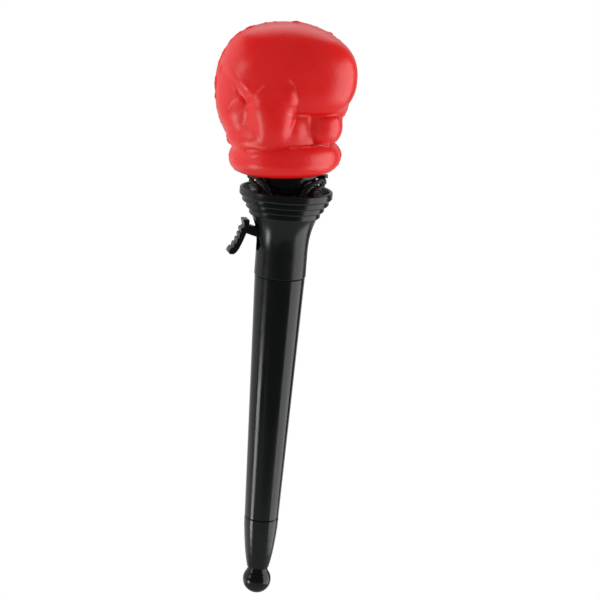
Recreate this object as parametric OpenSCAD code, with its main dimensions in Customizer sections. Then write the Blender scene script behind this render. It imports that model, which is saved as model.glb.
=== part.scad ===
// Hand-held launcher for a foam boxing glove.
// Every height is in millimetres above the tip of the ball at the foot of the handle.
// The model is drawn about the barrel's axis, +Z towards the glove, trigger on -X,
// with its origin on the axis at the middle of the plain barrel that a clip grips.

/* [Handle] */
// Radius of the ball at the foot
ball_r = 9.3; // [8:0.1:9.8]
// Outer radius at the foot of the handle tube
handle_foot_r = 11.2; // [11.2:0.1:11.8]
// Outer radius at the top of the handle tube
handle_top_r = 16.2; // [15.8:0.1:16.5]
// Wall of the handle tube
handle_wall = 2.0; // [1.6:0.1:2]

/* [Barrel] */
// Outer radius of the plain barrel, where a clip grips it
barrel_r = 16.6; // [16.6:0.1:17.2]
// Wall of the barrel
barrel_wall = 1.8; // [1.4:0.1:1.8]
// How much wider than the plain barrel the funnel is at the foot of its rim
flare = 12; // [11.5:0.1:13]
// How sharply the funnel opens towards its rim
flare_power = 2.38; // [2.2:0.02:2.5]
// Outer radius of the rim
rim_r = 29.7; // [29.5:0.1:31]
// Wall of the funnel
funnel_wall = 2.2; // [1.8:0.1:2.4]
// How far each rib stands out of the funnel
rib_step = 0.7; // [0.4:0.1:0.9]

/* [Trigger] */
// Width of the paddle under the finger
paddle_w = 9; // [8:0.5:10]
// Width of the arm that goes through the slot
arm_w = 7.6; // [6.8:0.2:7.6]
// Width of the slot in the barrel
slot_w = 12; // [11:0.5:13]
// Number of ridges on the paddle
ridges = 5; // [3:1:6]

/* [Plunger] */
// Bore of the guide sleeve
guide_r = 11; // [11:0.1:11.3]
// Radius of the plunger's rod
rod_r = 5; // [4.6:0.1:5]
// How far the plunger travels
stroke = 70; // [60:1:70]
// Turns in the main spring
spring_turns = 14; // [10:1:16]
// Radius of the main spring's wire
spring_wire_r = 0.75; // [0.6:0.05:0.9]

/* [Glove] */
// How far the glove is turned about the barrel's axis, in degrees
glove_turn = -15; // [-30:5:30]
// How far the foam leans off the barrel's axis, in degrees
glove_lean = -4.5; // [-6:0.5:0]
// Radius of the cuff
cuff_r = 35; // [34:0.5:37]
// Height of the cuff roll
cuff_h = 18; // [16:0.5:19]
// Height of the whole foam glove
glove_h = 95; // [92:0.5:98]
// Radius of the stem under the glove
stem_r = 6; // [5.5:0.1:6]
// Radius of each tether cord
cord_r = 1.7; // [1.2:0.1:1.7]

/* [Hidden] */

$fn = 96;

// Heights above the foot.
origin_h = 225;
cap_h = 53.4;
seam_h = 217.4;
flare_h = 232.5;
floor_h = 258.5;
rim_foot_h = 269;
rim_h = 274.2;
rib_h = 4.1;
rib_count = 3;

// Small gaps between pieces: in one body, between moving bodies, and round a shaft.
seat_gap = 0.1;
move_gap = 0.3;
run_gap = 0.05;

// The sleeve stands on a ledge in the handle, and the rod guide sits in its foot.
ledge_h = 204.8;
sleeve_r = 12.6;
spigot_r = barrel_r - barrel_wall - seat_gap;
guide_h = 5;

// The plunger at rest, cocked, and its spring.
head_top_h = 249.8;
head_t = 3.5;
head_r = guide_r - 0.5;
foot_r = 9;
foot_t = 3;
foot_top_h = ledge_h - stroke - move_gap;
seat_h = 62.4;
seat_t = 2.8;
spring_foot_h = seat_h + seat_t + seat_gap;
spring_top_h = foot_top_h - foot_t - seat_gap;
spring_r = 7.7;
boss_r = 6;

// The trigger's pivot, its hook over the plunger's head, and where the arm meets the paddle.
pivot = [11.6, 238];
pin_r = 1;
pin_l = 12.6;
boss_outer_r = 2.6;
hook_t = 3.5;
hook_foot_h = head_top_h + move_gap;
hook_tip = 7.4;
web_in = 10.9;
web_out = 14.2;
lug_out = 14.4;
lug_in_y = 4.3;
ridge_start = [27.6, 248.6];
ridge_end = [35, 233.2];
ridge_bow = 1.5;
ridge_t = 1;

// The glove: its base, and the tabs that its cords are tied to.
cuff_foot_h = 285.2;
lean_h = 261;
flange_r = 20.6;
flange_t = 1.6;
neck_r = 18.5;
neck_foot_h = 276.4;
ledge_r = 15.5;
ledge_foot_h = 273;
core_r = 12;
core_h = 24;
tab_x = 22.3;
tab_w = 7;
tab_t = 2;
knot_r = 3.2;
end_knot_r = 2.1;
strand_x = 1.9;
strand_y = 8.4;

// Each side's two tether strands leave the knot side by side and cross the front of the neck,
// which is -Y before the glove's turn. One goes down the front of the sleeve to the plunger's head,
// and the other round the funnel and down the back. These are the right-hand ones.
front_route = [
    [22, -3.3, 281.2],
    [21.2, -8.6, 282],
    [18.6, -13, 281.6],
    [15, -16.6, 279.6],
    [11.8, -18.2, 276],
    [9.6, -17.2, 271],
    [7, -14.2, 266],
    [4.4, -10.9, 261.6],
    [2.2, -8.7, 257.2],
    [1.9, -8.4, 252],
    [1.9, -8.4, 246.3]];
back_route = [
    [22.4, -3.3, 277.7],
    [22.2, -6.4, 277.6],
    [20.4, -11.4, 277.4],
    [17.2, -15.4, 275.6],
    [16.3, -15.6, 271.2],
    [16.6, -11.6, 267.4],
    [16.4, -5.2, 264.6],
    [13.8, 2.6, 262.4],
    [8.6, 7.8, 260.3],
    [3.7, 9.4, 257.6],
    [1.9, 8.4, 253.6],
    [1.9, 8.4, 246.3]];

// ---------- functions ----------

function unit(v) = v / norm(v);

function funnel_r(h) = barrel_r + flare * pow(max(h - flare_h, 0) / (rim_foot_h - flare_h), flare_power);

function handle_r(h) = handle_foot_r + (handle_top_r - handle_foot_r) * (h - cap_h) / (seam_h - cap_h);

function inner_r(h) = max(barrel_r - barrel_wall, min(funnel_r(h) - funnel_wall, rim_r - funnel_wall));

// An arc of points about a centre, from one angle to another.
function arc(centre, r, a0, a1, n) = [for (k = [0:n])
    let(a = a0 + (a1 - a0) * k / n) centre + r * [cos(a), sin(a)]];

// One ring of a tube about the direction t.
function ring(p, t, ref, r, sides) =
    let(n = unit(cross(t, ref)), b = cross(t, n))
    [for (k = [0:sides - 1]) p + r * (cos(360 * k / sides) * n + sin(360 * k / sides) * b)];

function heading(path, i) = unit(path[min(i + 1, len(path) - 1)] - path[max(i - 1, 0)]);

function mirrored(path) = [for (p = path) [-p[0], p[1], p[2]]];

// A point part-way along a smooth curve through the route's points.
function between(path, i, t) =
    let(a = path[max(i - 1, 0)], b = path[i], c = path[i + 1], d = path[min(i + 2, len(path) - 1)])
    b + t / 2 * (c - a) + t * t * (a - 2.5 * b + 2 * c - d / 2) + t * t * t * (3 * b - 3 * c + d - a) / 2;

function smoothed(path) = concat(
    [for (i = [0:len(path) - 2]) for (t = [0, 0.5]) between(path, i, t)], [path[len(path) - 1]]);

// ---------- shared shapes ----------

module at(h) {
    translate([0, 0, h - origin_h]) children();
}

// A round piece from its half outline of [radius, height] points.
module turned(outline) {
    at(0) rotate_extrude() polygon(outline);
}

// A tube swept along a path.
module tube(path, r, sides, ref) {
    rings = len(path);
    points = [for (i = [0:rings - 1]) each ring(path[i], heading(path, i), ref, r, sides)];
    walls = [for (i = [0:rings - 2]) for (k = [0:sides - 1])
        let(a = i * sides + k, b = i * sides + (k + 1) % sides)
        each [[a + sides, b + sides, b], [a + sides, b, a]]];
    first = [for (k = [0:sides - 1]) k];
    last = [for (k = [sides - 1:-1:0]) (rings - 1) * sides + k];
    polyhedron(points = points, faces = concat([first], walls, [last]));
}

// Something drawn flat as [distance from the axis, height], given a width and put on -X.
module trigger_plate(w) {
    at(0) mirror([1, 0, 0]) rotate([90, 0, 0]) linear_extrude(height = w, center = true) children();
}

module across(c, r, l) {
    at(c[1]) translate([-c[0], 0, 0]) rotate([90, 0, 0]) cylinder(r = r, h = l, center = true, $fn = 48);
}

module glove_frame() {
    rotate([0, 0, glove_turn]) children();
}

// ---------- housing ----------

function rib_outline(i) =
    let(top = rim_foot_h - i * rib_h, foot = top - rib_h, r = funnel_r((top + foot) / 2) + rib_step)
    [[r - 0.1, top], [r, top - 0.5], [r, foot + 0.9], [r - 0.6, foot + 0.2]];

module barrel() {
    last_rib_h = rim_foot_h - rib_count * rib_h;
    flange_foot_h = floor_h - 2.2;
    bore_r = barrel_r - barrel_wall;
    outer = concat(
        [[barrel_r - 0.5, seam_h + seat_gap], [barrel_r, seam_h + 0.7], [barrel_r, flare_h]],
        [for (h = [235:2.4:last_rib_h]) [funnel_r(h), h]],
        [for (i = [rib_count - 1:-1:0]) let(o = rib_outline(i)) each [o[3], o[2], o[1], o[0]]],
        [[rim_r - 0.8, rim_foot_h], [rim_r, rim_foot_h + 0.9]],
        arc([rim_r - 1, rim_h - 1], 1, 0, 90, 6),
        arc([rim_r - funnel_wall + 0.9, rim_h - 0.9], 0.9, 90, 180, 6));
    inner = concat(
        [for (h = [rim_foot_h:-1.5:floor_h]) [inner_r(h), h]],
        [[inner_r(flange_foot_h), flange_foot_h], [bore_r, flange_foot_h], [bore_r, seam_h + seat_gap]]);
    color([0.06, 0.07, 0.07]) difference() {
        turned(concat(outer, inner));
        for (h = [239.5, 248.6]) at(h) rotate([0, -90, 0]) cylinder(d = slot_w, h = 30);
        at((239.5 + 248.6) / 2) translate([-15, 0, 0]) cube([30, slot_w, 248.6 - 239.5], center = true);
    }
}

module guide_sleeve() {
    color([0.12, 0.13, 0.13]) difference() {
        union() {
            turned([[guide_r, ledge_h + seat_gap], [sleeve_r, ledge_h + seat_gap],
                [sleeve_r, floor_h - 2.1], [inner_r(floor_h - 2.1) - move_gap, floor_h - 2.1],
                [inner_r(floor_h) - move_gap, floor_h], [guide_r + 1.8, floor_h],
                [guide_r + 1.2, floor_h - 0.6], [guide_r, floor_h - 3]]);
            intersection() {
                at(pivot[1] - 3.5) translate([-lug_out, -lug_in_y - 2.1, 0])
                    cube([6, 2 * lug_in_y + 4.2, 7]);
                turned([[guide_r, pivot[1] - 4], [lug_out, pivot[1] - 4],
                    [lug_out, pivot[1] + 4], [guide_r, pivot[1] + 4]]);
            }
        }
        at(233) translate([-20, -lug_in_y, 0]) cube([20, 2 * lug_in_y, 23]);
        across(pivot, pin_r + run_gap, 30);
    }
}

module rod_guide() {
    color([0.75, 0.73, 0.68]) turned([
        [rod_r + run_gap, ledge_h + seat_gap], [guide_r - seat_gap, ledge_h + seat_gap],
        [guide_r - seat_gap, ledge_h + guide_h - 0.6], [guide_r - 0.7, ledge_h + guide_h],
        [rod_r + run_gap, ledge_h + guide_h]]);
}

module handle_tube() {
    bore_r = handle_foot_r - handle_wall;
    sleeve_seat_r = sleeve_r + seat_gap;
    color([0.06, 0.07, 0.07]) turned([
        [handle_foot_r - 0.3, cap_h + seat_gap], [handle_foot_r, cap_h + 0.5],
        [handle_top_r, seam_h - 0.5], [handle_top_r - 0.5, seam_h],
        [spigot_r, seam_h], [spigot_r, 227.6], [spigot_r - 0.6, 228.2],
        [sleeve_seat_r, 228.2], [sleeve_seat_r, ledge_h], [foot_r + 0.7, ledge_h],
        [foot_r + 0.7, ledge_h - 2.5], [handle_r(198) - handle_wall, 198],
        [bore_r, 68], [bore_r, cap_h + seat_gap]]);
}

module end_cap() {
    spigot = handle_foot_r - handle_wall - seat_gap;
    ball_h = 9.3;
    neck_a = asin((17.4 - ball_h) / ball_r);
    color([0.06, 0.07, 0.07]) turned(concat(
        arc([0, ball_h], ball_r, -90, neck_a - 22, 24),
        [[6.3, 17.6], [7.2, 18.5], [8.2, 23.1], [9.2, 28.8], [9.9, 34.4], [10.6, 41], [11.1, 47],
        [handle_foot_r + 0.1, cap_h - 0.5], [handle_foot_r - 0.3, cap_h], [spigot, cap_h], [spigot, 61.6],
        [spigot - 0.6, 62.2], [6.5, 62.2], [6.5, 40], [0, 36]]));
}

module spring_seat() {
    r = handle_foot_r - handle_wall - seat_gap;
    color([0.75, 0.73, 0.68]) turned([[0, seat_h], [r, seat_h], [r, seat_h + seat_t],
        [boss_r, seat_h + seat_t], [boss_r, seat_h + seat_t + 3.4], [boss_r - 0.6, seat_h + seat_t + 4],
        [0, seat_h + seat_t + 4]]);
}

module main_spring() {
    steps = 16;
    lift = spring_top_h - spring_foot_h - 2 * spring_wire_r;
    n = spring_turns * steps;
    // The first and last turns lie nearly flat, so that the ends are closed.
    path = [for (k = [0:n])
        let(a = 360 * k / steps, f = k / n, s = f - sin(360 * f) / 7.5)
        [spring_r * cos(a), spring_r * sin(a), spring_foot_h + spring_wire_r - origin_h + lift * s]];
    color([0.72, 0.73, 0.75]) tube(path, spring_wire_r, 8, [0, 0, 1]);
}

// ---------- plunger ----------

module plunger_head() {
    foot = head_top_h - head_t;
    notch_r = cord_r + move_gap;
    color([0.2, 0.2, 0.2]) difference() {
        turned([[0, foot - 8], [rod_r - 1.6, foot - 8], [rod_r - 1.6, foot], [head_r - 0.5, foot],
            [head_r, foot + 0.5], [head_r, head_top_h - 0.5], [head_r - 0.5, head_top_h], [0, head_top_h]]);
        // The cords come through a notch at the front and one at the back.
        glove_frame() for (side = [-1, 1]) at(foot - 1) {
            for (x = [-strand_x, strand_x]) translate([x, side * strand_y, 0])
                cylinder(r = notch_r, h = head_t + 2);
            translate([-strand_x - notch_r, side * (strand_y + 4) - 4, 0])
                cube([2 * (strand_x + notch_r), 8, head_t + 2]);
            translate([-strand_x, side * (strand_y + 1) - 3, 0]) cube([2 * strand_x, 6, head_t + 2]);
        }
    }
}

module plunger_rod() {
    foot = foot_top_h + seat_gap;
    top = head_top_h - head_t - seat_gap;
    color([0.72, 0.73, 0.75]) turned([[rod_r - 1.5, foot], [rod_r, foot], [rod_r, top], [rod_r - 1.5, top]]);
}

module plunger_foot() {
    foot = foot_top_h - foot_t;
    color([0.2, 0.2, 0.2]) turned([[0, foot - 5], [boss_r - 0.6, foot - 5], [boss_r, foot - 4.4],
        [boss_r, foot], [foot_r, foot], [foot_r, foot_top_h], [rod_r - 1.6, foot_top_h],
        [rod_r - 1.6, foot_top_h + 9], [rod_r - 2.2, foot_top_h + 9.6], [0, foot_top_h + 9.6]]);
}

module cord_ends(side) {
    color([0.08, 0.08, 0.08]) glove_frame() for (x = [-strand_x, strand_x])
        at(head_top_h - head_t - end_knot_r - seat_gap) translate([x, side * strand_y, 0])
            sphere(r = end_knot_r, $fn = 32);
}

module cord_ends_front() cord_ends(-1);

module cord_ends_back() cord_ends(1);

// ---------- trigger ----------

// The paddle's outer edge bows towards the barrel, and steps out at the top of each ridge.
function ridge_line(t) =
    let(chord = ridge_end - ridge_start, inward = unit([chord[1], -chord[0]]))
    ridge_start + t * chord + 4 * t * (1 - t) * ridge_bow * inward;

function ridge_points() =
    let(outward = unit([ridge_start[1] - ridge_end[1], ridge_end[0] - ridge_start[0]]))
    [for (i = [0:ridges - 1]) each [ridge_line(i / ridges),
        ridge_line((i + 0.15) / ridges) + ridge_t * outward,
        ridge_line((i + 0.5) / ridges) + 0.9 * ridge_t * outward]];

module trigger_lever() {
    paddle = concat([[23.6, 250.4], [23.4, 253.6], [23.8, 254.1], [27, 254.1], [27.4, 253.6], [26.4, 249.6]],
        ridge_points(), [[35.4, 233.4], [35.5, 232.3], [34.7, 231.5], [32.4, 231.5], [30.8, 232.6],
        [29, 235.3], [26.8, 240.4], [25.2, 244.8]]);
    arm = [[12, 240.5], [14, 241.8], [18, 243], [22, 244.2], [26, 245.6], [26, 250.2],
        [23.4, 250.4], [18, 248.8], [14, 247.9], [12, 247]];
    hook = [[web_in, pivot[1]], [web_in, hook_foot_h], [hook_tip, hook_foot_h],
        [hook_tip, hook_foot_h + 2], [hook_tip + 2, hook_foot_h + hook_t],
        [web_out - 1.2, hook_foot_h + hook_t], [web_out, hook_foot_h + hook_t - 1.8], [web_out, pivot[1]]];
    color([0.06, 0.07, 0.07]) difference() {
        union() {
            trigger_plate(paddle_w) polygon(paddle);
            trigger_plate(arm_w) polygon(arm);
            trigger_plate(arm_w - 1.6) polygon(hook);
            across(pivot, boss_outer_r, arm_w);
        }
        across(pivot, pin_r + run_gap, 20);
        across(pivot, boss_outer_r + 0.2, 3.2);
        trigger_plate(3.2) polygon([[pivot[0], 235], [16, 235], [16, 240], [15.4, 241.9], [pivot[0], 241]]);
    }
}

module trigger_pin() {
    color([0.72, 0.73, 0.75]) across(pivot, pin_r, pin_l);
}

module trigger_spring() {
    coil_r = 1.75;
    wire_r = 0.25;
    steps = 16;
    sweep = 1395;
    n = sweep / 360 * steps;
    coil = [for (k = [0:n])
        let(a = 180 - sweep * k / n) [coil_r * cos(a) - pivot[0], -1.1 + 2.2 * k / n, coil_r * sin(a) + pivot[1]]];
    path = concat([[-12.2, -1.1, 233.4], [-12.8, -1.1, 235.4]], coil, [[-14.1, 1.1, 239], [-15, 1.1, 241]]);
    color([0.72, 0.73, 0.75]) at(0) tube(path, wire_r, 6, [0, 1, 0]);
}

// ---------- glove ----------

module foam_shape() {
    lobe_r = 28;
    // The cuff is a round roll with a flat foot.
    rotate_extrude() polygon(concat([[0, 0]], arc([cuff_r - 8, 8], 8, -90, 0, 8),
        arc([cuff_r - 8, cuff_h - 8], 8, 0, 75, 8), [[0, cuff_h]]));
    translate([0, 0, cuff_h - 2]) cylinder(r = cuff_r - 3, h = 10);
    // The fist is wider than it is deep, and fullest at mid-height.
    hull() {
        for (side = [-1, 1]) {
            for (c = [[13, 40], [16.4, 56], [14, 64]])
                translate([side * c[0], 0, c[1]]) sphere(r = lobe_r, $fn = 36);
            translate([0, side * 10, 56]) sphere(r = lobe_r, $fn = 36);
        }
        translate([0, 0, glove_h - lobe_r]) sphere(r = lobe_r, $fn = 36);
    }
}

module glove_foam() {
    color([0.8, 0.05, 0.04]) glove_frame() difference() {
        at(lean_h) rotate([0, glove_lean, 0]) translate([0, 0, cuff_foot_h - lean_h]) foam_shape();
        // Room for the base's flange and tabs.
        at(cuff_foot_h - 20) cylinder(r = tab_x + tab_w / 2 + 0.8, h = 20);
        at(cuff_foot_h - 1) cylinder(r = core_r + seat_gap, h = core_h + 1 + seat_gap);
    }
}

module glove_base() {
    flange_foot = cuff_foot_h - seat_gap - flange_t;
    color([0.08, 0.09, 0.09]) glove_frame() {
        difference() {
            union() {
                turned(concat([[0, ledge_foot_h], [ledge_r - 0.8, ledge_foot_h], [ledge_r, ledge_foot_h + 0.8],
                    [ledge_r, neck_foot_h], [neck_r - 2, neck_foot_h]],
                    arc([neck_r - 2, neck_foot_h + 2], 2, -90, 0, 6),
                    [[neck_r, flange_foot], [flange_r, flange_foot], [flange_r, flange_foot + flange_t],
                    [core_r, flange_foot + flange_t], [core_r, cuff_foot_h + core_h], [0, cuff_foot_h + core_h]]));
                for (side = [-1, 1]) at(flange_foot + flange_t - tab_t) {
                    translate([side * tab_x, 0, 0]) cylinder(d = tab_w, h = tab_t, $fn = 48);
                    translate([side * tab_x / 2, 0, tab_t / 2]) cube([tab_x, tab_w, tab_t], center = true);
                }
            }
            at(ledge_foot_h - 1) cylinder(r = stem_r + seat_gap / 2, h = 24);
        }
    }
}

module glove_stem() {
    foot = head_top_h + move_gap;
    top = ledge_foot_h + 22.8;
    color([0.08, 0.09, 0.09]) turned([[stem_r - 1.8, foot], [stem_r - 0.6, foot], [stem_r, foot + 0.6],
        [stem_r, top], [stem_r - 1.8, top]]);
}

module cord_knot(side) {
    color([0.08, 0.08, 0.08]) glove_frame()
        at(cuff_foot_h - seat_gap - tab_t - knot_r + 0.8) translate([side * tab_x, 0, 0])
            sphere(r = knot_r, $fn = 40);
}

module cord_knot_left() cord_knot(-1);

module cord_knot_right() cord_knot(1);

module tether(route) {
    color([0.08, 0.08, 0.08]) glove_frame() at(0) tube(smoothed(route), cord_r, 8, [1, 0, 0]);
}

module tether_front_left() tether(mirrored(front_route));

module tether_front_right() tether(front_route);

module tether_back_left() tether(mirrored(back_route));

module tether_back_right() tether(back_route);

barrel();
guide_sleeve();
rod_guide();
handle_tube();
end_cap();
spring_seat();
main_spring();
plunger_head();
plunger_rod();
plunger_foot();
trigger_lever();
trigger_pin();
trigger_spring();
glove_foam();
glove_base();
glove_stem();
cord_knot_left();
cord_knot_right();
cord_ends_front();
cord_ends_back();
tether_front_left();
tether_front_right();
tether_back_left();
tether_back_right();
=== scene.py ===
"""Looks for the hand-held boxing glove launcher: moulded foam glove, twisted tethers, springs,
and a material for every carried-over part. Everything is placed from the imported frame, in metres."""
import math

import bpy
import numpy as np
from mathutils import Matrix, Vector


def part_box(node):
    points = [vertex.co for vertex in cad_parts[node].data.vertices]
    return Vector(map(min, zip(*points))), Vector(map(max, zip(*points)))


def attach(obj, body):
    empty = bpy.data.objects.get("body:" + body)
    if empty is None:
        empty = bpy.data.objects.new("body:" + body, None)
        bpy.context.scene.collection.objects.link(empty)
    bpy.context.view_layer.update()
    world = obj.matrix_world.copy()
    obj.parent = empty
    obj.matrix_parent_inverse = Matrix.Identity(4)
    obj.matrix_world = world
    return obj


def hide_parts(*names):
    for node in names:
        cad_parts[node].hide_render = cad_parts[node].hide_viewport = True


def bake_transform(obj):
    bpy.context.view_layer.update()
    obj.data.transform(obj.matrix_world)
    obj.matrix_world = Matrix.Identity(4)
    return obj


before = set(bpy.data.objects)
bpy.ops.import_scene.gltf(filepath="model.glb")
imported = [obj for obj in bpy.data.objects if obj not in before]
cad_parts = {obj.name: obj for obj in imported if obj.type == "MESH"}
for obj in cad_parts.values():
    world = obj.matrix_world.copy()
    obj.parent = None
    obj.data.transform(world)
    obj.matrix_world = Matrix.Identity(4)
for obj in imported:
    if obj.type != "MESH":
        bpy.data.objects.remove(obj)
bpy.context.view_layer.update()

MM = 0.001
SEED = 11

# ---------- the object's own frame ----------
# Heights in part.scad are above the foot, which is ORIGIN_H below the row's origin.
ORIGIN_H = 225.0
CUFF_FOOT_H = 285.2
LEAN_H = 261.0
GLOVE_TURN = math.radians(-15.0)
GLOVE_LEAN = math.radians(-4.5)
FOOT_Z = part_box("end_cap")[0].z


def turn_z(points, angle):
    c, s = math.cos(angle), math.sin(angle)
    return points @ np.array([[c, -s, 0], [s, c, 0], [0, 0, 1]]).T


def lean_y(points, angle):
    c, s = math.cos(angle), math.sin(angle)
    return points @ np.array([[c, 0, s], [0, 1, 0], [-s, 0, c]]).T


def from_glove(points):
    """Millimetres in the foam's own frame, foot at zero, to metres in the row frame."""
    p = np.asarray(points, float) + [0, 0, CUFF_FOOT_H - LEAN_H]
    p = lean_y(p, GLOVE_LEAN) + [0, 0, LEAN_H - ORIGIN_H]
    return turn_z(p, GLOVE_TURN) * MM


def from_part(points, turned=True):
    """Millimetres as part.scad's routes give them, to metres in the row frame."""
    p = np.asarray(points, float) - [0, 0, ORIGIN_H]
    return (turn_z(p, GLOVE_TURN) if turned else p) * MM


# ---------- camera, floor and light ----------
VIEW_AZIMUTH = math.radians(-15.0)
VIEW_ELEVATION = math.radians(13.5)
VIEW_ROLL = math.radians(4.5)
VIEW_DISTANCE = 1.29
VIEW_HEIGHT = 0.2021
VIEW_RIGHT = 0.0142
WORLD_FILL = 0.62


def around(azimuth, elevation=0.0):
    """The unit vector from the object towards an azimuth; azimuth 0 is -Y and 90 degrees is +X."""
    return Vector((math.sin(azimuth) * math.cos(elevation), -math.cos(azimuth) * math.cos(elevation),
                   math.sin(elevation)))


def make_camera():
    data = bpy.data.cameras.new("camera")
    data.lens = 120
    data.sensor_width = 36
    data.clip_end = 100
    camera = bpy.data.objects.new("camera", data)
    bpy.context.scene.collection.objects.link(camera)
    back = around(VIEW_AZIMUTH, VIEW_ELEVATION)
    right = Vector((math.cos(VIEW_AZIMUTH), math.sin(VIEW_AZIMUTH), 0))
    aim = Vector((0, 0, FOOT_Z + VIEW_HEIGHT)) + right * VIEW_RIGHT
    camera.location = aim + back * VIEW_DISTANCE
    rotation = (-back).to_track_quat("-Z", "Y").to_matrix().to_4x4()
    roll = rotation @ Matrix.Rotation(VIEW_ROLL, 4, "Z")
    camera.rotation_euler = roll.to_euler()
    bpy.context.scene.camera = camera


def make_floor():
    size = 60.0
    mesh = bpy.data.meshes.new("floor")
    corners = [(x * size, y * size, FOOT_Z) for x, y in ((-1, -1), (1, -1), (1, 1), (-1, 1))]
    mesh.from_pydata(corners, [], [(0, 1, 2, 3)])
    floor = bpy.data.objects.new("floor", mesh)
    bpy.context.scene.collection.objects.link(floor)
    floor.visible_glossy = False
    floor.visible_diffuse = False
    floor.visible_shadow = False
    white, shader = new_material("floor_white", (0, 0, 0), 0.9, Specular_IOR_Level=0.0)
    shader.inputs["Emission Color"].default_value = (1, 1, 1, 1)
    shader.inputs["Emission Strength"].default_value = 1.0
    mesh.materials.append(white)


def make_world():
    """White where the camera sees it, and an even fill of WORLD_FILL for the light on the object."""
    world = bpy.data.worlds.new("studio")
    bpy.context.scene.world = world
    world.use_nodes = True
    world.cycles_visibility.glossy = False
    nodes, links = world.node_tree.nodes, world.node_tree.links
    nodes.clear()
    shades = []
    for strength in (WORLD_FILL, 1.0):
        shade = nodes.new("ShaderNodeBackground")
        shade.inputs["Strength"].default_value = strength
        shade.inputs["Color"].default_value = (1, 1, 1, 1)
        shades.append(shade)
    path, mix = nodes.new("ShaderNodeLightPath"), nodes.new("ShaderNodeMixShader")
    links.new(path.outputs["Is Camera Ray"], mix.inputs[0])
    links.new(shades[0].outputs[0], mix.inputs[1])
    links.new(shades[1].outputs[0], mix.inputs[2])
    out = nodes.new("ShaderNodeOutputWorld")
    links.new(mix.outputs[0], out.inputs["Surface"])


def softbox(name, azimuth, distance, width, low, high, radiance):
    """An upright panel of light between two heights, facing the object.

    The azimuth is in degrees from the camera, to its right."""
    data = bpy.data.lights.new(name, "AREA")
    data.shape = "RECTANGLE"
    data.size = width
    data.size_y = high - low
    data.energy = radiance * math.pi * width * (high - low)
    light = bpy.data.objects.new(name, data)
    bpy.context.scene.collection.objects.link(light)
    way = around(VIEW_AZIMUTH + math.radians(azimuth))
    light.location = way * distance + Vector((0, 0, (low + high) / 2))
    light.rotation_euler = way.to_track_quat("Z", "Y").to_euler()
    return light


# Each panel's azimuth from the camera, distance, width, low edge, high edge and radiance.
LIT_PANELS = {
    "right_box": (91, 1.5, 1.85, -1.1, 0.8, 1.9),
    "left_low_strip": (-68, 1.4, 0.44, -1.0, -0.52, 6.5),
    "left_high_strip": (-66, 1.4, 0.34, -0.05, 0.5, 3.0),
    "left_fill": (-110, 1.5, 1.9, -0.2, 1.3, 1.7),
}
REFLECTED_PANELS = {
    "left_back": (-115, 1.5, 1.9, -0.3, 1.3, 0.55),
    "left_low_back": (-120, 1.5, 2.0, -1.2, -0.3, 0.5),
    "backdrop": (180, 2.0, 2.6, -1.2, 1.6, 0.45),
}
TABLE_SIZE, TABLE_Z, TABLE_RADIANCE = 2.6, -0.7, 0.3
TOP_WIDTH, TOP_DEPTH, TOP_RADIANCE = 1.2, 0.9, 1.0
TOP_BEHIND, TOP_Z = 1.0, 1.1


def make_lights():
    """Panels that light the object, and panels that show only as reflections in it."""
    lit = {name: softbox(name, *place) for name, place in LIT_PANELS.items()}
    lit["left_fill"].visible_glossy = False
    reflected = [softbox(name, *place) for name, place in REFLECTED_PANELS.items()]
    table = softbox("table", 0, 1, TABLE_SIZE, 0, TABLE_SIZE, TABLE_RADIANCE)
    table.location = (0, 0, TABLE_Z)
    table.rotation_euler = (math.pi, 0, 0)
    for light in reflected + [table]:
        light.visible_diffuse = False
        light.visible_camera = False
    top = softbox("top_box", 0, 1, TOP_WIDTH, 0, TOP_DEPTH, TOP_RADIANCE)
    top.location = around(VIEW_AZIMUTH) * -TOP_BEHIND + Vector((0, 0, TOP_Z))
    top.rotation_euler = top.location.to_track_quat("Z", "Y").to_euler()


# ---------- materials ----------

def new_material(name, color, roughness, **shader_values):
    """A Principled material; every value that is the same all over sits on the shader's own socket."""
    material = bpy.data.materials.new(name)
    material.use_nodes = True
    shader = material.node_tree.nodes["Principled BSDF"]
    shader.inputs["Base Color"].default_value = (*color, 1)
    shader.inputs["Roughness"].default_value = roughness
    for socket, value in shader_values.items():
        shader.inputs[socket.replace("_", " ")].default_value = value
    return material, shader


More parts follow.
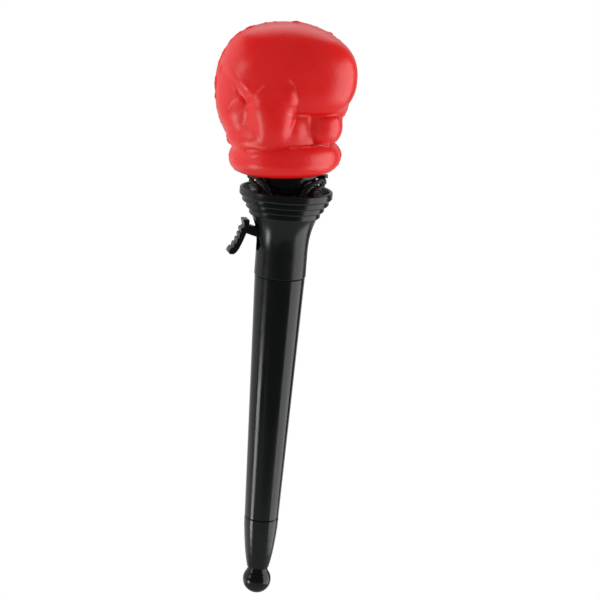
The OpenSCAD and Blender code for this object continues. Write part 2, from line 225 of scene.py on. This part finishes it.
class Graph:
    """Short names for the few nodes that the materials are made of."""

    def __init__(self, material):
        self.tree = material.node_tree
        self.place = self.add("ShaderNodeTexCoord").outputs["Object"]

    def add(self, kind, **values):
        node = self.tree.nodes.new(kind)
        for key, value in values.items():
            setattr(node, key, value)
        return node

    def link(self, out, into):
        self.tree.links.new(out, into)

    def stretched(self, scale):
        node = self.add("ShaderNodeMapping")
        node.inputs["Scale"].default_value = scale
        self.link(self.place, node.inputs["Vector"])
        return node.outputs["Vector"]

    def noise(self, scale, detail=2.0, rough=0.5, at=None):
        node = self.add("ShaderNodeTexNoise")
        node.inputs["Scale"].default_value = scale
        node.inputs["Detail"].default_value = detail
        node.inputs["Roughness"].default_value = rough
        self.link(self.place if at is None else at, node.inputs["Vector"])
        return node.outputs["Fac"]

    def cells(self, scale, feature="F1"):
        node = self.add("ShaderNodeTexVoronoi", feature=feature)
        node.inputs["Scale"].default_value = scale
        self.link(self.place, node.inputs["Vector"])
        return node.outputs["Distance"]

    def fit(self, value, low, high, to_low, to_high):
        node = self.add("ShaderNodeMapRange")
        numbers = {"From Min": low, "From Max": high, "To Min": to_low, "To Max": to_high}
        for key, number in numbers.items():
            node.inputs[key].default_value = number
        self.link(value, node.inputs["Value"])
        return node.outputs["Result"]

    def combine(self, operation, a, b):
        node = self.add("ShaderNodeMath", operation=operation)
        for socket, value in zip(node.inputs, (a, b)):
            if isinstance(value, (int, float)):
                socket.default_value = value
            else:
                self.link(value, socket)
        return node.outputs[0]

    def tint(self, factor, low_color, high_color):
        """A mix of two colours; the first may be another node's output."""
        node = self.add("ShaderNodeMix", data_type="RGBA")
        self.link(factor, node.inputs["Factor"])
        if isinstance(low_color, tuple):
            node.inputs["A"].default_value = (*low_color, 1)
        else:
            self.link(low_color, node.inputs["A"])
        node.inputs["B"].default_value = (*high_color, 1)
        return node.outputs["Result"]

    def attribute(self, name):
        return self.add("ShaderNodeAttribute", attribute_name=name).outputs["Fac"]

    def bump(self, height, strength, distance, under=None):
        node = self.add("ShaderNodeBump")
        node.inputs["Strength"].default_value = strength
        node.inputs["Distance"].default_value = distance
        self.link(height, node.inputs["Height"])
        if under is not None:
            self.link(under, node.inputs["Normal"])
        return node.outputs["Normal"]


def gloss_plastic(name, color, roughness, ripple):
    """Glossy moulded plastic: slow ripples, fine hairline scratches along and across, and dust specks."""
    material, shader = new_material(name, color, roughness, Specular_IOR_Level=0.45)
    g = Graph(material)
    along = g.noise(1.0, 3.0, 0.6, g.stretched((900, 900, 22)))
    across = g.noise(1.0, 3.0, 0.6, g.stretched((60, 60, 1400)))
    scratches = g.combine("MAXIMUM", g.fit(along, 0.62, 0.8, 0, 1), g.fit(across, 0.66, 0.82, 0, 1))
    wear = g.noise(28, 4.0, 0.65)
    worn = g.fit(wear, 0.35, 0.75, roughness * 0.8, roughness * 1.5)
    g.link(g.combine("ADD", worn, g.combine("MULTIPLY", scratches, 0.16)), shader.inputs["Roughness"])
    specks = g.fit(g.cells(700), 0.0, 0.12, 1, 0)
    lighter = tuple(min(1, c * 2.6 + 0.012) for c in color)
    dust = g.combine("MULTIPLY", specks, g.fit(wear, 0.45, 0.7, 0, 0.5))
    g.link(g.tint(dust, color, lighter), shader.inputs["Base Color"])
    slow = g.bump(g.noise(55, 1.0, 0.4), ripple, 0.0006)
    g.link(g.bump(scratches, 0.05, 0.0001, slow), shader.inputs["Normal"])
    return material


def satin_plastic(name, color, roughness):
    """Satin moulded plastic with a fine spark-eroded grain."""
    material, shader = new_material(name, color, roughness)
    g = Graph(material)
    uneven = g.fit(g.noise(90, 3.0), 0.3, 0.7, roughness - 0.06, roughness + 0.08)
    g.link(uneven, shader.inputs["Roughness"])
    lighter = tuple(c * 1.35 + 0.002 for c in color)
    g.link(g.tint(g.noise(40, 4.0), color, lighter), shader.inputs["Base Color"])
    g.link(g.bump(g.noise(2600, 2.0), 0.12, 0.0001), shader.inputs["Normal"])
    return material


def steel(name, roughness):
    material, shader = new_material(name, (0.55, 0.56, 0.57), roughness, Metallic=1.0)
    g = Graph(material)
    drawn = g.noise(1.0, 3.0, 0.6, g.stretched((1500, 1500, 60)))
    g.link(g.fit(drawn, 0.3, 0.7, roughness - 0.08, roughness + 0.12), shader.inputs["Roughness"])
    dull, bright = (0.46, 0.46, 0.47), (0.62, 0.63, 0.64)
    g.link(g.tint(g.noise(120, 3.0), dull, bright), shader.inputs["Base Color"])
    g.link(g.bump(drawn, 0.08, 0.0001), shader.inputs["Normal"])
    return material


def foam_skin():
    """Moulded foam with a satin skin: a fine pebble and a few pin holes.

    The colour is painted darker in the creases as painted shade, paler in patches, and paler along the
    mould's thin lips as a painted highlight on their edges."""
    # The darkest red is painted shade for the creases, and the palest red is a painted highlight along the
    # lips.
    base, crease_shade_colour, pale = (0.80, 0.0016, 0.0012), (0.5, 0.001, 0.0008), (0.84, 0.004, 0.003)
    lip_highlight_colour = (0.95, 0.16, 0.12)
    material, shader = new_material("red_foam_skin", base, 0.3, Specular_IOR_Level=0.65)
    g = Graph(material)
    mottled = g.tint(g.fit(g.noise(38, 5.0, 0.6), 0.35, 0.75, 0, 1), base, pale)
    # Painted shade: darker where the crease attribute marks a crease.
    shaded = g.tint(g.attribute("crease_shade"), mottled, crease_shade_colour)
    broken = g.fit(g.noise(260, 2.0), 0.35, 0.65, 0.1, 0.8)
    # Painted highlight: paler along the lips that the lip attribute marks.
    with_lip_highlight = g.tint(g.combine("MULTIPLY", g.attribute("lip"), broken), shaded, lip_highlight_colour)
    g.link(with_lip_highlight, shader.inputs["Base Color"])
    g.link(g.fit(g.noise(60, 4.0, 0.6), 0.3, 0.7, 0.25, 0.34), shader.inputs["Roughness"])
    grains = g.combine("MULTIPLY", g.cells(1150, "SMOOTH_F1"), 0.8)
    pebble = g.combine("ADD", grains, g.noise(1500, 3.0, 0.6))
    holes = g.fit(g.cells(230), 0.02, 0.07, -1.2, 0)
    fine = g.bump(g.combine("ADD", pebble, holes), 0.45, 0.00018)
    g.link(g.bump(g.noise(130, 3.0, 0.55), 0.15, 0.0004, fine), shader.inputs["Normal"])
    return material


def cord_fibre():
    """Black twisted elastic: matt yarn with a soft sheen."""
    material, shader = new_material("black_cord_yarn", (0.006, 0.006, 0.006), 0.4)
    g = Graph(material)
    fibres = g.noise(1.0, 3.0, 0.7, g.stretched((2200, 2200, 700)))
    dark, light = (0.004, 0.004, 0.004), (0.013, 0.013, 0.013)
    g.link(g.tint(g.fit(fibres, 0.35, 0.7, 0, 1), dark, light), shader.inputs["Base Color"])
    g.link(g.fit(fibres, 0.3, 0.7, 0.3, 0.5), shader.inputs["Roughness"])
    g.link(g.bump(fibres, 0.5, 0.0002), shader.inputs["Normal"])
    return material


# ---------- mesh helpers ----------

def make_object(name, vertices, faces, material, body=None, replaces=()):
    mesh = bpy.data.meshes.new(name)
    mesh.from_pydata(np.asarray(vertices, float).tolist(), [], [tuple(map(int, f)) for f in faces])
    mesh.polygons.foreach_set("use_smooth", [True] * len(mesh.polygons))
    mesh.materials.append(material)
    mesh.update()
    piece = bpy.data.objects.new(name, mesh)
    bpy.context.scene.collection.objects.link(piece)
    if body:
        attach(piece, body)
    if replaces:
        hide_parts(*replaces)
    return piece


def smooth_by_angle():
    """A modifier group that shades smooth except across edges sharper than 30 degrees."""
    group = bpy.data.node_groups.new("smooth_by_angle", "GeometryNodeTree")
    group.interface.new_socket("Geometry", in_out="INPUT", socket_type="NodeSocketGeometry")
    group.interface.new_socket("Geometry", in_out="OUTPUT", socket_type="NodeSocketGeometry")
    nodes, links = group.nodes, group.links
    start, end = nodes.new("NodeGroupInput"), nodes.new("NodeGroupOutput")
    faces, edges = nodes.new("GeometryNodeSetShadeSmooth"), nodes.new("GeometryNodeSetShadeSmooth")
    faces.domain, edges.domain = "FACE", "EDGE"
    angle, compare = nodes.new("GeometryNodeInputMeshEdgeAngle"), nodes.new("FunctionNodeCompare")
    compare.operation = "GREATER_THAN"
    compare.inputs["B"].default_value = math.radians(30)
    edges.inputs["Shade Smooth"].default_value = False
    links.new(start.outputs[0], faces.inputs["Geometry"])
    links.new(faces.outputs[0], edges.inputs["Geometry"])
    links.new(angle.outputs["Unsigned Angle"], compare.inputs["A"])
    links.new(compare.outputs["Result"], edges.inputs["Selection"])
    links.new(edges.outputs[0], end.inputs[0])
    return group


def dress(node, material, group, bevel=None):
    """A carried-over CAD node gets its material, welded and rounded edges, and smooth shading."""
    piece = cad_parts[node]
    if "custom_normal" in piece.data.attributes:
        piece.data.attributes.remove(piece.data.attributes["custom_normal"])
    piece.data.materials.clear()
    piece.data.materials.append(material)
    weld = piece.modifiers.new("weld", "WELD")
    weld.merge_threshold = 1e-6
    if bevel:
        edge = piece.modifiers.new("round_edges", "BEVEL")
        edge.width = bevel
        edge.segments = 3
        edge.limit_method = "ANGLE"
        edge.angle_limit = math.radians(35)
    piece.modifiers.new("shading", "NODES").node_group = group


def frames_along(path):
    """Tangents and a pair of normals that don't twist along a path."""
    path = np.asarray(path, float)
    tangent = np.gradient(path, axis=0)
    tangent /= np.linalg.norm(tangent, axis=1)[:, None]
    first = np.cross(tangent[0], [0.31, 0.17, 0.93])
    normal = [first / np.linalg.norm(first)]
    for t in tangent[1:]:
        n = normal[-1] - t * (normal[-1] @ t)
        normal.append(n / np.linalg.norm(n))
    normal = np.array(normal)
    return tangent, normal, np.cross(tangent, normal)


def tube(path, radius, sides, closed=False):
    """Vertices and faces of a round tube along a path, with its ends closed."""
    path = np.asarray(path, float)
    _, normal, side = frames_along(path)
    angle = np.arange(sides) * 2 * math.pi / sides
    radius = np.broadcast_to(np.asarray(radius, float), (len(path),))
    across, up = np.cos(angle)[None, :, None], np.sin(angle)[None, :, None]
    ring = across * normal[:, None] + up * side[:, None]
    vertices = (path[:, None] + ring * radius[:, None, None]).reshape(-1, 3)
    rings = len(path)
    faces = []
    for i in range(rings if closed else rings - 1):
        for k in range(sides):
            a, b = i * sides + k, i * sides + (k + 1) % sides
            c, d = ((i + 1) % rings) * sides + (k + 1) % sides, ((i + 1) % rings) * sides + k
            faces.append((a, b, c, d))
    if not closed:
        faces.append(tuple(range(sides))[::-1])
        faces.append(tuple((rings - 1) * sides + k for k in range(sides)))
    return vertices, faces


def joined(parts):
    vertices, faces, offset = [], [], 0
    for v, f in parts:
        vertices.append(v)
        faces += [tuple(offset + i for i in face) for face in f]
        offset += len(v)
    return np.vstack(vertices), faces


def smooth_path(points, step):
    """A Catmull-Rom curve through the points, resampled to even steps."""
    points = np.asarray(points, float)
    ends = np.vstack([2 * points[0] - points[1], points, 2 * points[-1] - points[-2]])
    curve = []
    for i in range(1, len(ends) - 2):
        a, b, c, d = ends[i - 1:i + 3]
        for t in np.linspace(0, 1, 12, endpoint=False):
            curve.append(0.5 * (2 * b + (c - a) * t + (2 * a - 5 * b + 4 * c - d) * t ** 2
                                + (3 * b - a - 3 * c + d) * t ** 3))
    curve = np.array(curve + [points[-1]])
    length = np.concatenate([[0], np.cumsum(np.linalg.norm(np.diff(curve, axis=0), axis=1))])
    even = np.linspace(0, length[-1], max(8, int(length[-1] / step)))
    return np.column_stack([np.interp(even, length, curve[:, k]) for k in range(3)])


def twisted(path, radius, plies, pitch, sides=8, phase=0.0):
    """Plies twisted round each other along a path."""
    path = np.asarray(path, float)
    _, normal, side = frames_along(path)
    along = np.concatenate([[0], np.cumsum(np.linalg.norm(np.diff(path, axis=0), axis=1))])
    ply = radius / (1 + 1 / math.sin(math.pi / plies))
    orbit = radius - ply
    parts = []
    for k in range(plies):
        a = 2 * math.pi * (along / pitch + k / plies) + phase
        centre = path + orbit * (np.cos(a)[:, None] * normal + np.sin(a)[:, None] * side)
        parts.append(tube(centre, ply * 1.12, sides))
    return joined(parts)


# ---------- the foam glove ----------

def ellipsoid(p, centre, radii, power=2.0):
    """Roughly the distance to an ellipsoid, or to a fuller one where power is over 2."""
    radii = np.array(radii, float)
    q = np.abs((p - np.array(centre, float)) / radii) + 1e-9
    total = (q ** power).sum(-1)
    f = total ** (1 / power)
    slope = f[..., None] ** (1 - power) * q ** (power - 1) / radii
    return (f - 1) / np.linalg.norm(slope, axis=-1)


def capsule(p, a, b, radius_a, radius_b):
    a, b = np.array(a, float), np.array(b, float)
    t = np.clip((p - a) @ (b - a) / ((b - a) @ (b - a)), 0, 1)
    out = np.linalg.norm(p - a - t[..., None] * (b - a), axis=-1)
    return out - (radius_a + (radius_b - radius_a) * t)


def blend_in(a, b, k):
    """The union of two shapes with a fillet of about k between them."""
    h = np.clip(0.5 + 0.5 * (b - a) / k, 0, 1)
    return b + (a - b) * h - k * h * (1 - h)


def step_up(x, low, high):
    t = np.clip((x - low) / (high - low), 0, 1)
    return t * t * (3 - 2 * t)


CUFF_RADIUS = 35.2
CUFF_ROUND = 9.5
MITT_TILT = math.radians(-4)
THUMB_TILT = math.radians(-10)
# The palm side's creases are laid out as seen from this far above level, in millimetres.
SIGHT_RISE = math.radians(13.5)
# Each crease is a path across and up, a half width and a depth; a negative depth is a raised line.
UNDER_ROLL = ([(-38, 62), (-33.6, 55.5), (-30, 51.2), (-26.4, 47), (-22, 41)], 2.4, 1.1)
ROLL_EDGE = ([(-36, 66), (-33.6, 60.5), (-29.5, 55.5), (-25, 50.5), (-21, 45)], 3.0, -0.4)
BACK_FLAP = ([(-27.5, 44), (-24.5, 42.5), (-22.6, 39.5), (-23, 34), (-25.4, 27)], 2.2, 0.3)
WRIST_FOLD = ([(-34.5, 37.5), (-30.5, 41.6), (-27.5, 44)], 1.3, 0.12)
THUMB_SIDE = ([(-20.5, 38.5), (-22, 33), (-23.5, 27)], 3.0, 0.15)
FINGER_FOLD = ([(7, 31.5), (16, 31.5), (25, 31.9), (32, 33.3), (37, 34.6)], 1.2, 0.8)
FINGER_GAP = ([(17.6, 30), (18, 22), (18.4, 16.5)], 1.7, 0.5)
# Thin lips of foam that the mould left, as paths across and up; the skin is painted paler along them as a
# painted highlight on their crisp edges.
LIPS = (
    [(3.5, 31.9), (15.9, 31.9)],
    [(16, 31), (16.3, 21)],
    [(-34, 37.6), (-30.5, 41.6), (-27.5, 44)],
    [(-16.2, 45.1), (-11.5, 49.2)],
    [(4, 52.5), (7.2, 49), (8.2, 45)],
    [(-21, 13.8), (-11, 12)],
    [(4.4, 11.9), (18.8, 13.4), (28, 15.8)],
)
CREASES = (UNDER_ROLL, ROLL_EDGE, BACK_FLAP, WRIST_FOLD, THUMB_SIDE, FINGER_FOLD, FINGER_GAP)


def cuff(p):
    """The roll at the wrist, a little taller at the palm."""
    top = 19.6 - 0.075 * p[..., 1]
    half = top / 2
    out = np.hypot(p[..., 0], p[..., 1]) - (CUFF_RADIUS - CUFF_ROUND)
    up = np.abs(p[..., 2] - half) - (half - CUFF_ROUND)
    outside = np.hypot(np.maximum(out, 0), np.maximum(up, 0))
    return np.minimum(np.maximum(out, up), 0) + outside - CUFF_ROUND


def as_seen(p):
    """Points on the palm side as across and up, seen from SIGHT_RISE above level."""
    up = p[..., 2] * math.cos(SIGHT_RISE) + p[..., 1] * math.sin(SIGHT_RISE)
    return np.stack([p[..., 0], up], -1)


def from_path(seen, path):
    """How far seen points are from a path."""
    nearest = np.full(seen.shape[:-1], 1e3)
    for a, b in zip(np.array(path[:-1], float), np.array(path[1:], float)):
        t = np.clip((seen - a) @ (b - a) / ((b - a) @ (b - a)), 0, 1)
        nearest = np.minimum(nearest, np.linalg.norm(seen - a - t[..., None] * (b - a), axis=-1))
    return nearest


def creased(p, distance):
    """Sinks the palm side's creases into a shape."""
    near = (np.abs(distance) < 4) & (p[..., 1] < -4)
    seen = as_seen(p[near])
    sunk = sum(depth * np.exp(-(from_path(seen, path) / width) ** 2) for path, width, depth in CREASES)
    result = distance.copy()
    result[near] += sunk * step_up(-p[near][:, 1], 4, 12)
    return result


def fist(p):
    """The glove above the cuff, from the back of the hand to the thumb; the palm side is -Y."""
    x, z = p[..., 0], p[..., 2]
    hand = ellipsoid(p, (-0.8, 2, 55), (42.4, 33, 39), 2.25)
    heel = ellipsoid(p, (-4, -4, 23.5), (28, 26, 14), 2.1)
    side_of_hand = ellipsoid(p, (-21.5, -6.5, 40), (17, 18.5, 19))
    near_tip = ellipsoid(p, (2.2, -16.6, 29.8), (14.9, 14.6, 13.5))
    far_tip = ellipsoid(p, (21.5, -8, 30.8), (15.2, 17.6, 14.2), 2.2)
    body = blend_in(blend_in(hand, heel, 7), side_of_hand, 10)
    body = blend_in(body, blend_in(near_tip, far_tip, 2.5), 2)
    # The rolled fingers' outer end sits lower than the end by the thumb.
    mitt = ellipsoid(lean_y(p - [4, -7.6, 62.3], MITT_TILT), (0, 0, 0), (42, 28.5, 30), 2.3)
    softness = 1.1 + 1.6 * step_up(-x, 12, 26) + 4 * step_up(z, 74, 88)
    body = blend_in(body, mitt, softness)
    stalk = capsule(p, (-10.5, -12.5, 21), (-7.4, -23.4, 42), 13.5, 14.5)
    knuckle = capsule(p, (-9.5, -26.5, 47.5), (0.6, -28.5, 51.8), 11.2, 10.6)
    ball = ellipsoid(lean_y(p - [-5.2, -25, 38.5], THUMB_TILT), (0, 0, 0), (12.4, 12.8, 20), 2.3)
    thumb = blend_in(blend_in(blend_in(stalk, knuckle, 4), ball, 3), heel, 7)
    return blend_in(body, thumb, 1.0 + 5 * step_up(-x, 2, 26) + 4 * step_up(-z, -31, -22))


def glove_distance(p):
    return creased(p, blend_in(fist(p), cuff(p), 1.0))


def surface_net(field, low, step):
    """Vertices and quads of the surface where the field is zero, one vertex in each cell that it crosses."""
    shape = np.array(field.shape) - 1
    total, count = np.zeros((shape.prod(), 3)), np.zeros(shape.prod())
    quads = []
    for axis in range(3):
        u, v = (axis + 1) % 3, (axis + 2) % 3
        a = np.take(field, range(field.shape[axis] - 1), axis)
        b = np.take(field, range(1, field.shape[axis]), axis)
        at = np.argwhere((a < 0) != (b < 0))
        value_a, value_b = a[tuple(at.T)], b[tuple(at.T)]
        point = at.astype(float)
        point[:, axis] += value_a / (value_a - value_b)
        around_edge = []
        for du, dv in ((-1, -1), (0, -1), (0, 0), (-1, 0)):
            cell = at.copy()
            cell[:, u] += du
            cell[:, v] += dv
            flat = np.ravel_multi_index(np.clip(cell, 0, shape - 1).T, shape)
            around_edge.append(flat)
            for k in range(3):
                total[:, k] += np.bincount(flat, point[:, k], len(count))
            count += np.bincount(flat, minlength=len(count))
        quad = np.column_stack(around_edge)
        quads.append(np.where((value_a < 0)[:, None], quad, quad[:, ::-1]))
    quads = np.vstack(quads)
    used = np.flatnonzero(count)
    number = np.full(len(count), -1)
    number[used] = np.arange(len(used))
    return np.array(low) + step * total[used] / count[used][:, None], number[quads]


def slopes(distance, p, gap=0.15):
    ways = gap * np.eye(3)
    return np.column_stack([(distance(p + way) - distance(p - way)) / (2 * gap) for way in ways])


def neighbour_mean(values, quads):
    """Each vertex's mean over the vertices that its quads join it to."""
    total, count = np.zeros_like(values), np.zeros(len(values))
    for k in range(4):
        a, b = quads[:, k], quads[:, (k + 1) % 4]
        for here, there in ((a, b), (b, a)):
            for axis in range(values.shape[1]):
                total[:, axis] += np.bincount(here, values[there, axis], len(values))
            count += np.bincount(here, minlength=len(values))
    return total / count[:, None]


def wave_noise(t, count, lowest, rng):
    """A smooth random wave from -1 to 1 or so."""
    rates = lowest * 1.37 ** np.arange(count)
    return sum(np.sin(t * r + rng.uniform(0, 6.28)) / math.sqrt(count / 2) for r in rates)


GLOVE_LOW, GLOVE_HIGH = np.array([-48.0, -44.0, -3.0]), np.array([49.0, 40.0, 98.0])
GRID_STEP, QUICK_GRID_STEP = 0.7, 1.3
EVENING_ROUNDS = 4
CREASE_PROBE = 1.6
LIP_WIDTH = 0.55
LIP_FRONT_Y = -8
PARTING_TURN = math.radians(6)
FLASH_WIDTH = 0.9
FLASH_HEIGHT = 0.75


def add_parting_flash(points, outward):
    """The ragged lip where the mould's halves met, and the small step between the halves."""
    rng = np.random.default_rng(SEED)
    normal = np.array([math.sin(PARTING_TURN), -math.cos(PARTING_TURN), 0])
    off = points @ normal
    along = np.arctan2(points[:, 2] - 50, points @ np.array([normal[1], -normal[0], 0]))
    ragged = 0.5 + 0.2 * wave_noise(along, 6, 34, rng) + 0.4 * wave_noise(along, 6, 8, rng)
    lip = np.clip(1 - (off / FLASH_WIDTH) ** 2, 0, 1) * np.clip(ragged, 0.05, 1.4) * FLASH_HEIGHT
    back_half = 0.3 * (1 - step_up(off, -0.5, 0.5)) * (1 - step_up(-off, 3, 9))
    return points + outward * (lip + back_half)[:, None]


def make_glove(material):
    step = GRID_STEP
    axes = [np.arange(a, b, step) for a, b in zip(GLOVE_LOW, GLOVE_HIGH)]
    grid = np.stack(np.meshgrid(*axes, indexing="ij"), -1)
    points, quads = surface_net(glove_distance(grid), GLOVE_LOW, step)
    for _ in range(EVENING_ROUNDS):
        points = 0.5 * points + 0.5 * neighbour_mean(points, quads)
        slope = slopes(glove_distance, points)
        points = points - slope * (glove_distance(points) / (slope ** 2).sum(1))[:, None]
    outward = slopes(glove_distance, points)
    outward /= np.linalg.norm(outward, axis=1)[:, None]
    # A crease is where the surface close by, out along the normal, isn't far from the foam; the foam is
    # painted darker there, as painted shade.
    open_air = glove_distance(points + outward * CREASE_PROBE) / CREASE_PROBE
    crease_shade = np.clip((0.8 - open_air) / 0.6, 0, 1)
    # The lip mask places the painted highlight along the mould's lips.
    seen = as_seen(points)
    away = np.minimum.reduce([from_path(seen, path) for path in LIPS])
    lip = np.exp(-(away / LIP_WIDTH) ** 2) * (points[:, 1] < LIP_FRONT_Y)
    points = add_parting_flash(points, outward)
    piece = make_object("boxing_glove", from_glove(points), quads, material, "glove",
                        ["glove_foam"])
    for name, values in (("crease_shade", crease_shade), ("lip", lip)):
        attribute = piece.data.attributes.new(name, "FLOAT", "POINT")
        attribute.data.foreach_set("value", values.astype(np.float32))
    return piece


# ---------- tethers and knots ----------
# The right-hand strands' routes, as in part.scad, in millimetres above the foot.
FRONT_ROUTE = [(22, -3.3, 281.2), (21.2, -8.6, 282), (18.6, -13, 281.6), (15, -16.6, 279.6),
               (11.8, -18.2, 276), (9.6, -17.2, 271), (7, -14.2, 266), (4.4, -10.9, 261.6),
               (2.2, -8.7, 257.2), (1.9, -8.4, 252), (1.9, -8.4, 246.3)]
BACK_ROUTE = [(22.4, -3.3, 277.7), (22.2, -6.4, 277.6), (20.4, -11.4, 277.4), (17.2, -15.4, 275.6),
              (16.3, -15.6, 271.2), (16.6, -11.6, 267.4), (16.4, -5.2, 264.6), (13.8, 2.6, 262.4),
              (8.6, 7.8, 260.3), (3.7, 9.4, 257.6), (1.9, 8.4, 253.6), (1.9, 8.4, 246.3)]
CORD_RADIUS = 1.8
CORD_PLIES = 3
TWIST_PITCH = 13
TWIST_PHASE = 0.7
# Each knot's size, its cord's radius and its tilt in radians.
KNOT = (22.3, 0.0, 280.9)
KNOT_SHAPE = (3.5, 1.35, 0.6)
END_KNOT_X, END_KNOT_Y, END_KNOT_H = 1.9, 8.4, 244.1
END_KNOT_SHAPE = (2.1, 0.8, 0.3)


def trefoil(centre, size, cord, tilt, turns=96):
    """An overhand knot pulled close: a trefoil of cord round a centre, in part.scad's millimetres."""
    t = np.linspace(0, 2 * math.pi, turns, endpoint=False)
    loop = np.column_stack([np.sin(t) + 2 * np.sin(2 * t), np.cos(t) - 2 * np.cos(2 * t),
                            -1.1 * np.sin(3 * t)])
    loop = lean_y(loop * (size - cord) / 3, tilt)
    return tube(loop + np.array(centre), cord, 10, closed=True)


def make_tethers(material):
    for side_name, side in (("left", -1), ("right", 1)):
        mirror = np.array([side, 1, 1])
        for end_name, route in (("front", FRONT_ROUTE), ("back", BACK_ROUTE)):
            name = f"tether_{end_name}_{side_name}"
            into_knot = [0.5 * (np.array(KNOT) + route[0])]
            path = smooth_path(np.vstack([into_knot, route]) * mirror, 0.5)
            vertices, faces = twisted(path, CORD_RADIUS, CORD_PLIES, TWIST_PITCH * side,
                                      phase=TWIST_PHASE * side)
            strand = make_object(f"{name}_cord", from_part(vertices), faces, material)
            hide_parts(name)
            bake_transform(strand)
        size, cord, tilt = KNOT_SHAPE
        vertices, faces = trefoil(np.array(KNOT) * mirror, size, cord, tilt * side)
        make_object(f"knot_{side_name}", from_part(vertices), faces, material, "glove",
                    [f"cord_knot_{side_name}"])
    for end_name, y in (("front", -END_KNOT_Y), ("back", END_KNOT_Y)):
        vertices, faces = joined([trefoil((x, y, END_KNOT_H), *END_KNOT_SHAPE)
                                  for x in (-END_KNOT_X, END_KNOT_X)])
        make_object(f"end_knots_{end_name}", from_part(vertices), faces, material, "plunger",
                    [f"cord_ends_{end_name}"])


# ---------- springs ----------

def make_main_spring(material):
    low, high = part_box("main_spring")
    wire, turns, steps_per_turn = 0.75 * MM, 14, 28
    # The turns crowd together at both ends; a smaller number crowds them more.
    end_spread = 7.5
    t = np.linspace(0, 1, turns * steps_per_turn)
    lift = t - np.sin(2 * math.pi * t) / end_spread
    angle = 2 * math.pi * turns * t
    radius = high.x - wire
    path = np.column_stack([radius * np.cos(angle), radius * np.sin(angle),
                            low.z + wire + (high.z - low.z - 2 * wire) * lift])
    vertices, faces = tube(path, wire, 10)
    spring = make_object("main_coil_spring", vertices, faces, material)
    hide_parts("main_spring")
    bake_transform(spring)


# The trigger's spring, in part.scad's millimetres.
TRIGGER_PIVOT = np.array([-11.6, 0, 238])
TORSION_RADIUS = 1.75
TORSION_WIRE = 0.25
TORSION_HALF_WIDTH = 1.1
TORSION_SWEEP = math.radians(1395)
LOWER_LEG = [[-12.2, -1.1, 233.4], [-12.8, -1.1, 235.4]]
UPPER_LEG = [[-14.1, 1.1, 239], [-15, 1.1, 241]]


def make_trigger_spring(material):
    """A torsion spring: a coil between a lower leg and an upper leg, in one piece.

    Known fault: from_part turns it with the glove, so it stands about 3 mm beside its pin."""
    t = np.linspace(0, 1, 130)
    angle = math.pi - TORSION_SWEEP * t
    coil = TRIGGER_PIVOT + np.column_stack([TORSION_RADIUS * np.cos(angle),
                                            TORSION_HALF_WIDTH * (2 * t - 1),
                                            TORSION_RADIUS * np.sin(angle)])
    vertices, faces = tube(np.vstack([LOWER_LEG, coil, UPPER_LEG]), TORSION_WIRE, 8)
    spring = make_object("trigger_torsion_spring", from_part(vertices), faces, material)
    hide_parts("trigger_spring")
    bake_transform(spring)


# ---------- the whole ----------

bpy.context.scene.view_settings.view_transform = "Standard"
make_camera()
make_floor()
make_world()
make_lights()

black_gloss = gloss_plastic("black_gloss_plastic", (0.0064, 0.0078, 0.0073), 0.17, 0.12)
funnel_gloss = gloss_plastic("black_barrel_plastic", (0.007, 0.0086, 0.0081), 0.22, 0.12)
black_satin = satin_plastic("black_satin_plastic", (0.011, 0.0115, 0.0115), 0.4)
white_guide = satin_plastic("white_guide_plastic", (0.62, 0.6, 0.55), 0.45)
spring_steel = steel("spring_steel_wire", 0.3)
red_foam = foam_skin()
black_cord = cord_fibre()

shading = smooth_by_angle()
LEVER_EDGE = 0.4 * MM
DRESSED = {
    "barrel": funnel_gloss, "handle_tube": black_gloss, "end_cap": black_gloss,
    "trigger_lever": funnel_gloss, "glove_base": black_gloss, "guide_sleeve": black_satin,
    "glove_stem": black_satin, "plunger_head": black_satin, "plunger_foot": black_satin,
    "rod_guide": white_guide, "spring_seat": white_guide, "plunger_rod": spring_steel,
    "trigger_pin": spring_steel,
}
for node, material in DRESSED.items():
    dress(node, material, shading, LEVER_EDGE if node == "trigger_lever" else None)

make_glove(red_foam)
make_tethers(black_cord)
make_main_spring(spring_steel)
make_trigger_spring(spring_steel)
